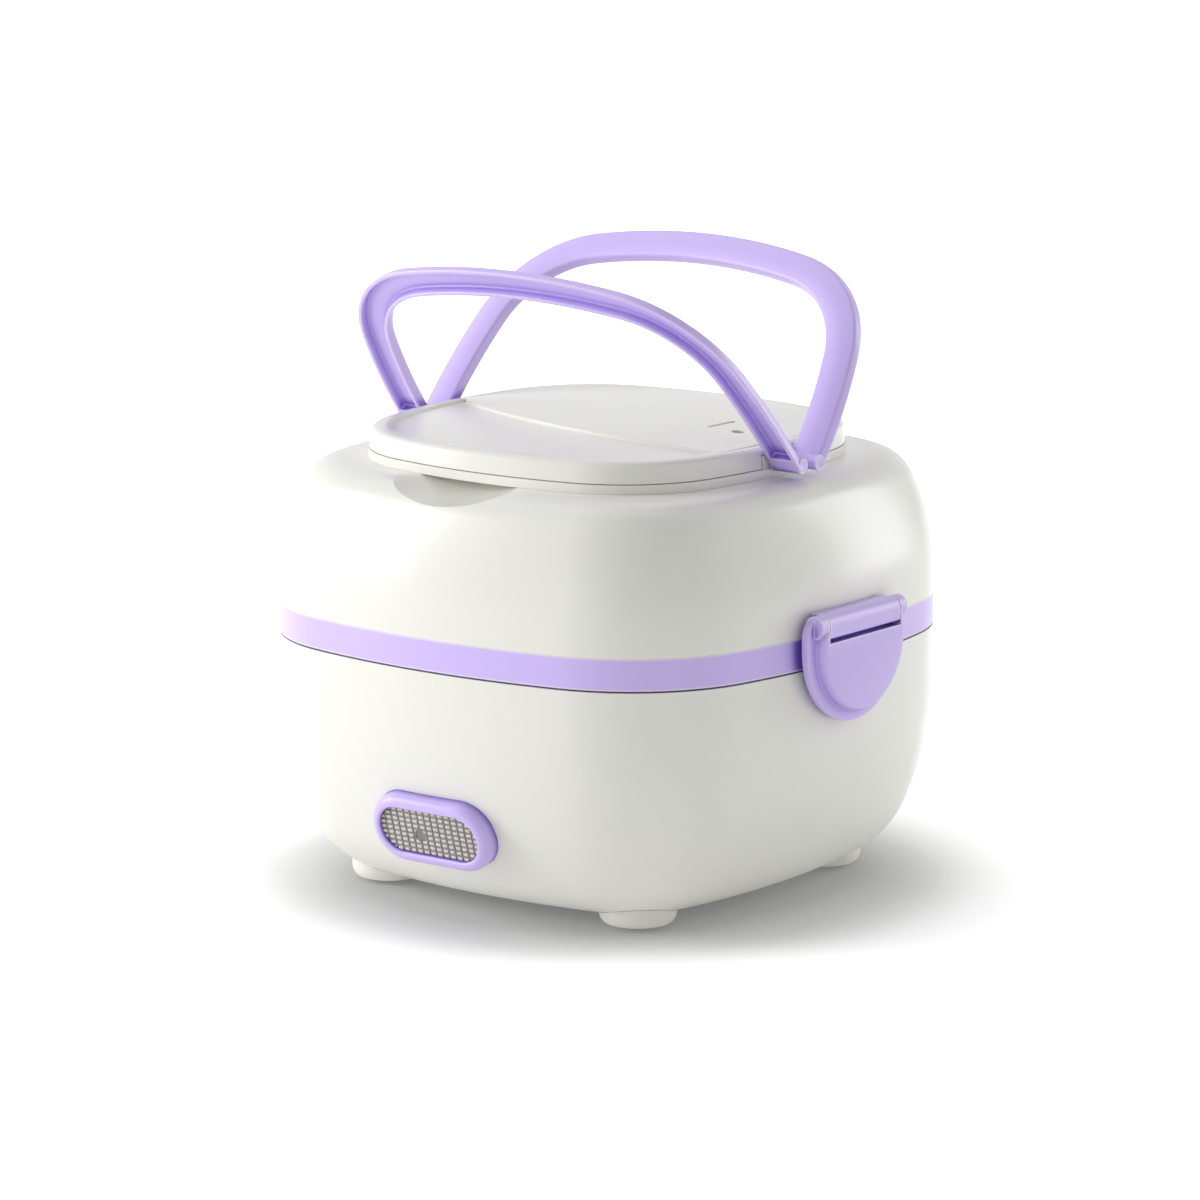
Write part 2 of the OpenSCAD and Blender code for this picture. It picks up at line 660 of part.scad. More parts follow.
panel_screw_in = 24;
panel_screw_at = corner_at(body_half, body_corner_r) + (body_corner_r - panel_screw_in) / sqrt(2);
panel_z = band_top + 8.5;
panel_t = 1.6;
steam_at = [cap_half - 24.2, 7];
steam_r = 4.6;
module upper_shell() {
  color(shell_white) difference() {
    union() {
      body_sweep() polygon(concat(upper_curve(0), reversed(upper_curve(shell_wall))));
      body_plate(plate_inset, top_z - shell_wall, shell_wall);
      intersection() {
        body_sweep(sides = [1, 3], corners = []) polygon(concat(upper_curve(1), [[-sweep_depth, band_top]]));
        scoop_ball(scoop_r + shell_wall);
      }
      for (a = [45:90:315]) rotate([0, 0, a]) translate([panel_screw_at * sqrt(2), 0, panel_z + panel_t + 0.1])
        cylinder(r = 3.6, h = top_z - panel_z - panel_t - 2);
    }
    scoop_ball(scoop_r);
    for (a = [45:90:315]) rotate([0, 0, a]) translate([panel_screw_at * sqrt(2), 0, panel_z])
      cylinder(r = screw_r, h = 14);
    translate([steam_at[0], steam_at[1], top_z - 10]) cylinder(r = steam_r + 0.15, h = 20);
  }
}

seal_in = 7;
seal_w = 2.7;
seal_gap = 0.1;
panel_rim_z = band_z + 6;
function panel_curve(i) = concat(
  arc(-liner_inset - 8, panel_z + panel_t - 8, 8 - i, 0, 90, 5), [[-sweep_depth, panel_z + panel_t - i]]);
module lid_inner_panel() {
  rib_drop = 3.4;
  outer = shell_wall + tongue_gap + tongue_t + 0.15;
  color("whitesmoke") difference() {
    union() {
      body_sweep() {
        polygon(concat([[-liner_inset, panel_rim_z]], panel_curve(0), reversed(panel_curve(panel_t)),
          [[-liner_inset - panel_t, panel_rim_z]]));
        translate([-liner_inset - eps, panel_rim_z]) square([liner_inset - outer, panel_t]);
        translate([-seal_in + 0.1, panel_rim_z - rib_drop]) square([1.3, rib_drop + eps]);
        translate([-seal_in - seal_w - 1.4, panel_rim_z - rib_drop]) square([1.3, rib_drop + eps]);
      }
      body_plate(plate_inset, panel_z, panel_t);
    }
    for (a = [45:90:315]) rotate([0, 0, a]) translate([panel_screw_at * sqrt(2), 0, panel_z - 1])
      cylinder(r = screw_r + 0.2, h = 4);
    translate([steam_at[0], steam_at[1], panel_z - 1]) cylinder(r = 2.6, h = 4);
  }
}

module lid_screws() {
  color("silver") for (a = [45:90:315]) rotate([0, 0, a])
    translate([panel_screw_at * sqrt(2), 0, panel_z - 1.65]) screw(2.7, 1.6, screw_r - 0.02, 10);
}

module lid_seal() {
  lip = bead_z + liner_wall / 2 + seal_gap;
  color(silicone_grey) body_sweep() {
    translate([-seal_in - seal_w, lip + 1]) square([seal_w, panel_rim_z - lip - 1.05]);
    translate([-seal_in - seal_w / 2 - 0.7, lip]) square([1.4, 1 + eps]);
  }
}

module steam_tube() {
  color(silicone_grey) translate([steam_at[0], steam_at[1], panel_z + panel_t + 0.02]) difference() {
    cylinder(r = steam_r, h = cap_base_top - panel_z - panel_t - 0.2);
    translate([0, 0, -1]) cylinder(r = steam_r - 1.8, h = cap_base_top - panel_z + 2);
  }
}

// ---------- top cap and its base ----------
post_half = pivot_y + handle_foot_r + 2;
post_in = 5.7;
post_top = cap_top - cap_wall - 0.3;
module cap_sweep() {
  sweep(cap_half, cap_corner_r) children();
}

module cap_base() {
  color(shell_white) difference() {
    union() {
      cap_sweep() translate([-30, top_z + 0.02]) square([30.3, cap_base_h - 0.02]);
      translate([0, 0, top_z + 0.02]) linear_extrude(cap_base_h - 0.02)
        polygon(outline(cap_half, cap_corner_r, -28));
      for (s = [-1, 1]) translate([s > 0 ? cap_half - post_in - 0.2 : -cap_half + 0.2, -post_half, cap_base_top - 1])
        cube([post_in, 2 * post_half, post_top - cap_base_top + 1]);
    }
    translate([steam_at[0], steam_at[1], top_z - 1]) cylinder(r = steam_r + 0.1, h = 10);
    for (s = [-1, 1], y = [-1, 1]) translate([s > 0 ? cap_half - post_in - 1 : -cap_half - 1, y * pivot_y, pivot_z])
      rotate([0, 90, 0]) cylinder(r = handle_pin_r + 0.02, h = post_in + 2);
  }
}

handle_gap = 0.6;
handle_pin_in = 5.4;
handle_pin_out = handle_clearance + strap_w - 3.5;
module handle_pins() {
  color("silver") for (s = [-1, 1], y = [-1, 1])
    translate([s > 0 ? cap_half - handle_pin_in : -cap_half - handle_pin_out, y * pivot_y, pivot_z])
      rotate([0, 90, 0]) cylinder(r = handle_pin_r, h = handle_pin_in + handle_pin_out);
}

dome_inset = 4;
rim_taper = 1.1;
dome_top = cap_top + dome_rise;
crescent_lip = 1.4;
leaf_x = 23.4;
module dome_ball(drop) {
  translate([0, 0, dome_top - dome_r - drop]) sphere(r = dome_r, $fn = 2 * fine);
}

vent_slot = [cap_half - 26.6, 7.5];
vent_hole = [cap_half - 17.2, 2.5];
module top_cap() {
  color(shell_white) difference() {
    union() {
      cap_sweep() {
        polygon([[0, cap_z], [-rim_taper + 0.5, cap_top - 0.9], [-rim_taper, cap_top - 0.3],
          [-rim_taper - 0.6, cap_top], [-30, cap_top], [-30, cap_top - cap_wall],
          [-rim_taper - cap_wall, cap_top - cap_wall], [-cap_wall - 0.2, cap_z]]);
      }
      translate([0, 0, cap_top - cap_wall]) linear_extrude(cap_wall)
        polygon(outline(cap_half, cap_corner_r, -28));
      intersection() {
        translate([0, 0, cap_top - 1]) linear_extrude(dome_rise + 2)
          polygon(outline(cap_half, cap_corner_r, -dome_inset, 6));
        dome_ball(0);
      }
    }
    difference() {
      translate([0, 0, cap_top - 1]) linear_extrude(dome_rise + 4) difference() {
        polygon(outline(cap_half, cap_corner_r, -dome_inset - crescent_lip, 6));
        translate([leaf_x, leaf_r - leaf_low]) circle(leaf_r, $fn = fine);
      }
      dome_ball(crescent_depth);
    }
    for (s = [-1, 1]) translate([s > 0 ? cap_half - post_in - 0.6 : -cap_half - 1, -post_half - 0.4, cap_z - 1])
      cube([post_in + 1.6, 2 * post_half + 0.8, post_top - cap_z + 1.3]);
    translate([vent_slot[0] - 0.7, vent_slot[1] - 6.5, cap_top - 6]) cube([1.4, 13, 20]);
    translate([vent_hole[0], vent_hole[1], cap_top - 6]) cylinder(r = 1.9, h = 20);
  }
}

module steam_valve() {
  valve_h = cap_top - cap_wall - cap_base_top - 0.3;
  color("dimgray") translate([steam_at[0], steam_at[1], cap_base_top + 0.02]) difference() {
    union() {
      cylinder(r = steam_r + 1.4, h = 1.2);
      cylinder(r = steam_r - 1, h = valve_h);
    }
    translate([0, 0, -1]) cylinder(r = 1.6, h = 20);
  }
}

// ---------- handles ----------
handle_half = cap_half + handle_clearance + strap_w;
handle_centre = -2.25;
channel_end = 3.8;
side_draft = 1.6;
strap_crown = 0.7;

// The strap's section as [offset from the loop's outside, height above the pin plane]
strap_low = -2;
module strap_full() {
  polygon([[0, strap_low], [-side_draft * 0.6, strap_low + strap_t * 0.7],
    [-side_draft - 0.6, strap_low + strap_t - 0.2], [-strap_w * 0.38, strap_low + strap_t + strap_crown * 0.7],
    [-strap_w * 0.6, strap_low + strap_t + strap_crown * 0.7], [-strap_w + 0.9, strap_low + strap_t - 0.2],
    [-strap_w, strap_low + strap_t * 0.75], [-strap_w, strap_low]]);
}

module strap_channel() {
  polygon([[-strap_wall - 0.1, strap_low - 1], [-strap_wall - 0.5, strap_low + channel_depth],
    [-strap_w + strap_wall, strap_low + channel_depth], [-strap_w + strap_wall - 0.1, strap_low - 1]]);
}

// Upper half of the loop, lying in XY with its strap heights along Z
module half_loop() {
  translate([0, handle_centre, 0]) sweep(handle_half, handle_corner_r, [0, 1, 2], [0, 1]) children();
}

module slab(low, high) {
  translate([-handle_half - 1, low, -strap_w]) cube([2 * handle_half + 2, high - low, 2 * strap_w]);
}

// The rear handle leans towards +Y; the front one is its twin turned about Z
module handle(side) {
  foot_x = cap_half + handle_gap;
  color(lavender) rotate([0, 0, side > 0 ? 0 : 180])
    translate([0, pivot_y, pivot_z]) rotate([90 - handle_lean, 0, 0]) difference() {
      union() {
        intersection() {
          half_loop() difference() {
            strap_full();
            strap_channel();
          }
          slab(channel_end - 0.5, 2 * handle_half);
        }
        intersection() {
          half_loop() strap_full();
          slab(0, channel_end);
        }
        for (s = [0, 1]) translate([s * -(foot_x + handle_half - 0.4), 0, 0]) translate([foot_x, 0, 0])
          rotate([0, 90, 0]) cylinder(r = handle_foot_r, h = handle_half - 0.4 - foot_x);
      }
      for (s = [-1, 1]) translate([s > 0 ? foot_x - 2 : -cap_half - handle_pin_out - 0.1, 0, 0])
        rotate([0, 90, 0]) cylinder(r = handle_pin_r + 0.05, h = handle_pin_out + 0.1 + 2 - handle_gap);
    }
}

module rear_handle() {
  handle(1);
}

module front_handle() {
  handle(-1);
}

// ---------- latches ----------
latch_back = latch_x - 2.7;
latch_front = latch_x + latch_ear_r;
notch_gap = 0.25;
notch_low = latch_z - 4.7;
latch_top = latch_z + latch_ear_r;
latch_centre = latch_top - latch_straight;

// Front view of the flap, inset by i: a half round below, rounded corners on top
module latch_front_view(i) {
  corner = 4 - i / 3;
  w = latch_half - i;
  translate([0, latch_centre]) circle(w);
  translate([-w, latch_centre]) square([2 * w, latch_straight - corner]);
  translate([-w + corner, latch_centre]) square([2 * (w - corner), latch_straight]);
  for (s = [-1, 1]) translate([s * (w - corner), latch_top - corner]) circle(corner);
}

module latch_layer(i, x0, x1) {
  translate([x0, 0, 0]) rotate([90, 0, 90]) linear_extrude(x1 - x0) latch_front_view(i);
}

module latch(q) {
  hook_z = catch_z - hook_gap - 1.4;
  catch_face = body_half + catch_out;
  color(lavender) rotate([0, 0, q]) difference() {
    union() {
      difference() {
        union() {
          latch_layer(0, latch_back - 0.7, latch_back + 2.2);
          latch_layer(0.5, latch_back, latch_back + 2.7);
          latch_layer(latch_step, latch_back, latch_front - 0.5);
          latch_layer(latch_step + 0.5, latch_back, latch_front);
        }
        difference() {
          latch_layer(latch_step + latch_wall, latch_back - 2, latch_front - latch_wall);
          translate([latch_back - 3, -latch_half, notch_low - 2.2]) cube([20, 2 * latch_half, 40]);
        }
        translate([latch_back - 5, -block_half - notch_gap, notch_low])
          cube([20, 2 * (block_half + notch_gap), 20]);
        translate([latch_back - 3, -block_half - notch_gap, notch_low - 3])
          cube([latch_front - latch_back - latch_wall + 3, 2 * (block_half + notch_gap), 10]);
        difference() {
          translate([latch_back - 5, -latch_half - 1, latch_z]) cube([20, 2 * latch_half + 2, 20]);
          across_latch(latch_half + 2) circle(latch_ear_r);
        }
        difference() {
          translate([latch_back - 5, -latch_half - 1, latch_centre - latch_half - 1])
            cube([5, 2 * latch_half + 2, latch_straight + latch_half + 2]);
          across_latch(latch_half + 2) circle(latch_ear_r);
        }
      }
      translate([catch_face + hook_slip, -catch_half - 1, hook_z])
        cube([latch_front - latch_wall - catch_face, 2 * catch_half + 2, 1.4]);
    }
    translate([latch_x, latch_pin_half + 0.2, latch_z]) rotate([90, 0, 0])
      cylinder(r = latch_pin_r + 0.05, h = 2 * latch_pin_half + 0.4);
  }
}

module latch_right() {
  latch(0);
}

module latch_left() {
  latch(180);
}

base_housing();
bottom_cover();
feet();
inner_tub();
heating_plate();
plate_seal();
ptc_heater();
heater_clamp();
thermostat();
thermal_fuse();
power_inlet();
inlet_pins();
live_lead();
neutral_lead();
lamp_lead();
indicator_bezel();
indicator_lens();
indicator_lamp();
base_screws();
heater_screws();
steel_liner();
upper_shell();
trim_band();
lid_inner_panel();
lid_seal();
cap_base();
top_cap();
steam_tube();
steam_valve();
handle_pins();
latch_pins();
lid_screws();
front_handle();
rear_handle();
latch_right();
latch_left();
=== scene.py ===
# %% [markdown]
# # An electric lunch box, dressed for a photograph
# The box itself comes in as a finished frame of solids: shells, band, latches, handles, liner and heater.
# This lesson gives each of them the surface of the real material, remodels the pieces that the eye rests
# on longest, and sets up the studio. The frame's axes are kept: +Z is up, the indicator looks along -Y,
# and the latches sit on the X sides. The scene is in metres, and what is modelled here is written in
# millimetres.

# %% Load the frame
import json
import math

import bpy
from mathutils import Matrix, Vector


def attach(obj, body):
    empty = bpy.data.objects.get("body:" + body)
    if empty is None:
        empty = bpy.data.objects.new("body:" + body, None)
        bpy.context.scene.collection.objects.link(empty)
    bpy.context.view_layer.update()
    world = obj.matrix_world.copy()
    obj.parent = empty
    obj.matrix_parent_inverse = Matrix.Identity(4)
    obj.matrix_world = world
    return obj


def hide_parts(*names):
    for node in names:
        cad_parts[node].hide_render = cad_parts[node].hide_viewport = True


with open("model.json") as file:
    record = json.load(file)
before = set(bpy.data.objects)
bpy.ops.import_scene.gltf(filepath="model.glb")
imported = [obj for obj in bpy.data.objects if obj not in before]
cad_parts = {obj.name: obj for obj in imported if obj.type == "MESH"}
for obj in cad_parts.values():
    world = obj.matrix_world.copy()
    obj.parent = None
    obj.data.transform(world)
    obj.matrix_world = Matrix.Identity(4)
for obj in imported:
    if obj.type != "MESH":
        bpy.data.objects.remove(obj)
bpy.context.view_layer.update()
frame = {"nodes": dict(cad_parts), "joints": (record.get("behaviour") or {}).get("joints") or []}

MM = 0.001
nodes = frame["nodes"]

# %% [markdown]
# The camera stands where the photograph was taken from. Its place was worked out from the outline of the
# body, the band and the two handles, so the lens is long and the view looks down at about eleven degrees.
# A long lens keeps the sides of the box nearly parallel, which is how product pictures are usually taken.

# %% Camera
azimuth = math.radians(37.41)
elevation = math.radians(11.49)
distance = 1.7407
target = Vector((-0.004875, 0.002632, 0.080343))
level = math.cos(elevation)
back = Vector((math.sin(azimuth) * level, -math.cos(azimuth) * level, math.sin(elevation)))
bpy.ops.object.camera_add(location=target + back * distance)
camera = bpy.context.object
camera.rotation_euler = (-back).to_track_quat("-Z", "Y").to_euler()
camera.data.lens = 177.64
camera.data.sensor_width = 36
camera.data.clip_end = 50
bpy.context.scene.camera = camera
print("camera at", [round(v, 3) for v in camera.location])

# %% [markdown]
# Four soft panels light the box: a weak one above, a large strong one on the left, one behind on the
# right, and a faint low one in front. Broad panels give moulded plastic the long, quiet highlights that
# show its curves. The world is white where the camera, a reflection or clear plastic looks at it, and
# gives a dimmer, even fill everywhere else, so the background is white without any extra light falling on
# the box.

# %% Studio lights
middle_of_box = Vector((0, 0, 0.07))

def softbox(name, location, size, power):
    """A rectangular panel light that faces the middle of the box."""
    turn = (middle_of_box - Vector(location)).to_track_quat("-Z", "Y").to_euler()
    bpy.ops.object.light_add(type="AREA", location=location, rotation=turn)
    lamp = bpy.context.object
    lamp.name = name
    lamp.data.shape = "RECTANGLE"
    lamp.data.size = size[0]
    lamp.data.size_y = size[1]
    lamp.data.energy = power

softbox("softbox_overhead", (-0.3, 0.2, 1.3), (0.9, 0.9), 2.0)
softbox("softbox_left", (-1.25, -0.85, 0.6), (0.8, 1.0), 17)
softbox("softbox_right", (0.8, 1.45, 0.45), (0.6, 1.1), 8)
softbox("softbox_front", (0.1, -1.45, 0.22), (1.0, 0.45), 0.8)

def add_node(tree, kind, inputs=None, **settings):
    """Adds one shader node, with its settings, and the values or links of its sockets."""
    made = tree.nodes.new(kind)
    for name, value in settings.items():
        setattr(made, name, value)
    for socket, value in (inputs or {}).items():
        if isinstance(value, bpy.types.NodeSocket):
            tree.links.new(value, made.inputs[socket])
        else:
            made.inputs[socket].default_value = value
    return made

def seen_rays(tree):
    """1 for rays from the camera, from gloss and through clear plastic, 0 for the rest."""
    path = add_node(tree, "ShaderNodeLightPath")
    glossy = add_node(tree, "ShaderNodeMath",
                      {0: path.outputs["Is Camera Ray"], 1: path.outputs["Is Glossy Ray"]},
                      operation="MAXIMUM")
    clear = add_node(tree, "ShaderNodeMath", {0: glossy.outputs[0], 1: path.outputs["Is Transmission Ray"]},
                     operation="MAXIMUM")
    return clear.outputs[0]

world = bpy.data.worlds.new("white studio")
bpy.context.scene.world = world
world.use_nodes = True
tree = world.node_tree
tree.nodes.clear()
fill = add_node(tree, "ShaderNodeBackground", {"Color": (1, 1, 1, 1), "Strength": 0.42})
shown = add_node(tree, "ShaderNodeBackground", {"Color": (1, 1, 1, 1), "Strength": 1.0})
mixed = add_node(tree, "ShaderNodeMixShader", {0: seen_rays(tree), 1: fill.outputs[0], 2: shown.outputs[0]})
add_node(tree, "ShaderNodeOutputWorld", {"Surface": mixed.outputs[0]})
bpy.context.scene.view_settings.view_transform = "Standard"

# %% [markdown]
# Colours are written as sRGB hex values, the way a paint chart gives them, and one function turns them to
# the linear values that the shader works in. Moulded polypropylene has a soft satin face: it mirrors only a
# little (its index of refraction is 1.49), its gloss wavers slightly where the melt cooled unevenly, and
# under a lens the surface shows the fine grain of the polished tool. The grain is drawn coarser than the
# real one, or it wouldn't show. The lavender also has a painted highlight, a paler tone along its edges,
# and a painted shade, a deeper tone in its recesses; real thin walls show these only faintly, and the
# photograph's own contrast is matched with them.

# %% Colours and moulded plastic
def srgb(code):
    """Linear colour of an sRGB hex value."""
    parts = [int(code[i:i + 2], 16) / 255 for i in (1, 3, 5)]
    return tuple(p / 12.92 if p <= 0.04045 else ((p + 0.055) / 1.055) ** 2.4 for p in parts) + (1.0,)

def start_material(name):
    """A node material with its shader, its output and the object's own coordinates."""
    made = bpy.data.materials.new(name)
    made.use_nodes = True
    tree = made.node_tree
    tree.nodes.clear()
    shader = add_node(tree, "ShaderNodeBsdfPrincipled")
    add_node(tree, "ShaderNodeOutputMaterial", {"Surface": shader.outputs[0]})
    place = add_node(tree, "ShaderNodeTexCoord").outputs["Object"]
    return made, tree, shader, place

def moulded(name, light, deep, roughness, grain_mm=0.5, bump=0.04, ior=1.49, edge_mm=0.25, coat=0.0,
            painted_edge_highlight=None, painted_recess_shade=None):
    """Injection-moulded plastic or rubber: two near colours in large soft clouds, wavering gloss and tool
    grain. Where their colours are given, a painted highlight lies along the edges and a painted shade in
    the recesses."""
    made, tree, shader, place = start_material(name)
    clouds = add_node(tree, "ShaderNodeTexNoise", {"Vector": place, "Scale": 1 / (60 * MM), "Detail": 2.0})
    colour = add_node(tree, "ShaderNodeMix",
                      {"Factor": clouds.outputs["Fac"], 6: srgb(light), 7: srgb(deep)},
                      data_type="RGBA").outputs[2]
    gloss = add_node(tree, "ShaderNodeMapRange", {"Value": clouds.outputs["Fac"],
                     "To Min": roughness * 0.8, "To Max": roughness * 1.2})
    grain = add_node(tree, "ShaderNodeTexNoise",
                     {"Vector": place, "Scale": 1 / (grain_mm * MM), "Detail": 3.0})
    edges = add_node(tree, "ShaderNodeBevel", {"Radius": edge_mm * MM}, samples=4)
    relief = add_node(tree, "ShaderNodeBump", {"Height": grain.outputs["Fac"], "Strength": bump,
                      "Distance": 0.1 * MM, "Normal": edges.outputs[0]})
    # Painted shade: the colour is drawn deeper where ambient occlusion finds a recess.
    if painted_recess_shade:
        open_air = add_node(tree, "ShaderNodeAmbientOcclusion", {"Distance": 4 * MM}, samples=8)
        depth = add_node(tree, "ShaderNodeMapRange", {"Value": open_air.outputs["AO"], "From Min": 0.6,
                         "From Max": 0.94, "To Min": 1.0, "To Max": 0.0}, interpolation_type="SMOOTHSTEP")
        colour = add_node(tree, "ShaderNodeMix", {"Factor": depth.outputs[0], 6: colour, 7: srgb(painted_recess_shade)},
                          data_type="RGBA").outputs[2]
    # Painted highlight: the colour is drawn paler where a wide bevel finds an edge.
    if painted_edge_highlight:
        wide = add_node(tree, "ShaderNodeBevel", {"Radius": 1.1 * MM}, samples=6)
        surface = add_node(tree, "ShaderNodeNewGeometry")
        flat = add_node(tree, "ShaderNodeVectorMath", {0: wide.outputs[0], 1: surface.outputs["Normal"]},
                        operation="DOT_PRODUCT")
        edge = add_node(tree, "ShaderNodeMapRange", {"Value": flat.outputs["Value"], "From Min": 0.9,
                        "From Max": 0.995, "To Min": 0.9, "To Max": 0.0}, interpolation_type="SMOOTHSTEP")
        colour = add_node(tree, "ShaderNodeMix", {"Factor": edge.outputs[0], 6: colour, 7: srgb(painted_edge_highlight)},
                          data_type="RGBA").outputs[2]
    tree.links.new(colour, shader.inputs["Base Color"])
    tree.links.new(gloss.outputs[0], shader.inputs["Roughness"])
    tree.links.new(relief.outputs[0], shader.inputs["Normal"])
    shader.inputs["IOR"].default_value = ior
    shader.inputs["Coat Weight"].default_value = coat
    shader.inputs["Coat Roughness"].default_value = 0.12
    return made

white_shell = moulded("polypropylene, moulded, warm white satin", "#F1F1EA", "#EDEDE5", 0.30, coat=0.15)
# The lavender carries a painted highlight on its edges and a painted shade in its recesses.
lavender = moulded("polypropylene, moulded, lavender satin", "#D6C3FE", "#CFBBFB", 0.34, coat=0.1,
                   painted_edge_highlight="#F7ECFD", painted_recess_shade="#8A6FD2")
frosted = moulded("polycarbonate, moulded, frosted grey", "#D6D1CC", "#C8C3BF",
                  0.3, ior=1.58, edge_mm=0.1)
# The grooves' grey is the frosted plastic drawn darker: painted shade.
groove_painted_shade = moulded("polycarbonate, moulded, grooves in shade", "#8E8985", "#827D79",
                      0.5, ior=1.58, edge_mm=0.1)
well_plastic = moulded("polypropylene, moulded, matt light grey", "#DEDEDB", "#D6D6D3",
                       0.48, grain_mm=0.35, bump=0.12)
foot_rubber = moulded("elastomer, moulded, warm white", "#E9E9E2", "#E2E2DA",
                      0.55, grain_mm=0.3, bump=0.15, ior=1.5)
silicone = moulded("silicone, moulded, translucent grey", "#DCDCDA", "#CFCFCE",
                   0.42, grain_mm=0.4, bump=0.06, ior=1.41)
black_plastic = moulded("phenolic, pressed, black", "#232325", "#1C1C1E",
                        0.32, grain_mm=0.4, bump=0.08, ior=1.6)
lamp_plastic = moulded("polycarbonate, tinted lamp", "#E8743A", "#D96830", 0.18, ior=1.58)
sleeve_white = moulded("glass fibre, woven sleeve", "#EAE4CF", "#DDD6BF",
                       0.7, grain_mm=0.3, bump=0.4, ior=1.5)
wire_brown = moulded("silicone rubber, extruded, brown", "#6B432B", "#603B25",
                     0.42, bump=0.05, ior=1.41)
wire_blue = moulded("silicone rubber, extruded, blue", "#3A6FB4", "#3464A6", 0.42, bump=0.05, ior=1.41)
wire_yellow = moulded("silicone rubber, extruded, yellow", "#D9B23A", "#CCA632",
                      0.42, bump=0.05, ior=1.41)
print("plastics:", len(bpy.data.materials))

# %% [markdown]
# The metals are told apart by how they were made. Deep-drawn stainless steel keeps the fine parallel
# scratches of its brushing, cast aluminium a sandy grain, and zinc-plated sheet a soft mottled spangle. A
# metal's colour is its reflection, so these patterns go into roughness and relief.

# %% Metals
def metal(name, colour, roughness, stretch, grain_mm, bump, spread=0.35):
    """A bare metal whose grain is a noise stretched along the working direction."""
    made, tree, shader, place = start_material(name)
    turned = add_node(tree, "ShaderNodeMapping", {"Vector": place, "Scale": stretch})
    grain = add_node(tree, "ShaderNodeTexNoise",
                     {"Vector": turned.outputs[0], "Scale": 1 / (grain_mm * MM), "Detail": 4.0})
    gloss = add_node(tree, "ShaderNodeMapRange", {"Value": grain.outputs["Fac"], "From Min": 0.3,
                     "From Max": 0.7, "To Min": roughness * (1 - spread),
                     "To Max": roughness * (1 + spread)})
    relief = add_node(tree, "ShaderNodeBump",
                      {"Height": grain.outputs["Fac"], "Strength": bump, "Distance": 0.05 * MM})
    shader.inputs["Base Color"].default_value = srgb(colour)
    shader.inputs["Metallic"].default_value = 1.0
    tree.links.new(gloss.outputs[0], shader.inputs["Roughness"])
    tree.links.new(relief.outputs[0], shader.inputs["Normal"])
    return made

stainless = metal("stainless steel, deep drawn and brushed", "#C6C6C6", 0.25, (1, 1, 0.04), 0.25, 0.04,
                  spread=0.15)
cast_aluminium = metal("aluminium, die cast and turned", "#CFCFD1", 0.42, (1, 1, 1), 0.8, 0.3)
plated_sheet = metal("steel sheet, zinc plated", "#C4C6C6", 0.32, (1, 1, 1), 2.5, 0.1)
nickel_pin = metal("brass, turned and nickel plated", "#D8D2C2", 0.22, (1, 1, 0.2), 0.5, 0.05)
print("materials:", len(bpy.data.materials))

# %% [markdown]
# A solid that came in from the frame is a set of loose triangles. Joining them and splitting only the
# sharp edges again lets the light run smoothly over the curves while the real edges stay crisp. The two
# modifiers leave the solid's own points alone.

# %% Dress the solids
def dress(names, finish):
    """Gives solids of the frame a material, smooth curves and crisp edges."""
    for name in names:
        solid = nodes[name]
        solid.data.materials.clear()
        solid.data.materials.append(finish)
        for face in solid.data.polygons:
            face.use_smooth = True
        weld = solid.modifiers.new("join triangles", "WELD")
        weld.merge_threshold = 0.002 * MM
        split = solid.modifiers.new("keep sharp edges", "EDGE_SPLIT")
        split.split_angle = math.radians(28)

dress(["base_housing", "bottom_cover", "upper_shell", "cap_base", "top_cap"], white_shell)
dress(["trim_band", "indicator_bezel", "front_handle", "rear_handle", "latch_right", "latch_left"],
      lavender)
dress(["inner_tub", "lid_inner_panel"], well_plastic)
dress(["feet"], foot_rubber)
dress(["plate_seal", "lid_seal", "steam_tube", "steam_valve"], silicone)
dress(["power_inlet", "thermostat"], black_plastic)
dress(["indicator_lamp"], lamp_plastic)
dress(["indicator_lens"], silicone)
dress(["thermal_fuse"], sleeve_white)
dress(["live_lead"], wire_brown)
dress(["neutral_lead"], wire_blue)
dress(["lamp_lead"], wire_yellow)
dress(["steel_liner"], stainless)
dress(["heating_plate", "ptc_heater"], cast_aluminium)
dress(["heater_clamp", "heater_screws", "base_screws", "lid_screws", "handle_pins", "latch_pins"],
      plated_sheet)
dress(["inlet_pins"], nickel_pin)
print("dressed:", sum(len(o.data.materials) > 0 for o in nodes.values()), "of", len(nodes))

# %% [markdown]
# The pieces that the eye rests on longest are modelled again, with softer forms than the plain solids
# have. They all begin in the same way: an outline is drawn edge by edge from a single point, then spun,
# extruded or inset in edit mode. These short helpers hold those steps. Outlines are written in
# millimetres as corners with a rounding radius each, the way a draughtsman would dimension a section.

# %% Modelling helpers
def rounded(corners, steps=4):
    """A closed outline from corners (x, y, radius), each turned by a short arc."""
    outline = []
    for i, (x, y, radius) in enumerate(corners):
        here = Vector((x, y))
        back_way = (Vector(corners[i - 1][:2]) - here).normalized()
        on_way = (Vector(corners[(i + 1) % len(corners)][:2]) - here).normalized()
        half = back_way.angle(on_way) / 2
        centre = here + (back_way + on_way).normalized() * radius / math.sin(half)
        start = here + back_way * radius / math.tan(half) - centre
        turn = start.angle_signed(here + on_way * radius / math.tan(half) - centre)
        outline += [centre + Matrix.Rotation(-turn * k / steps, 2) @ start for k in range(steps + 1)]
    return outline

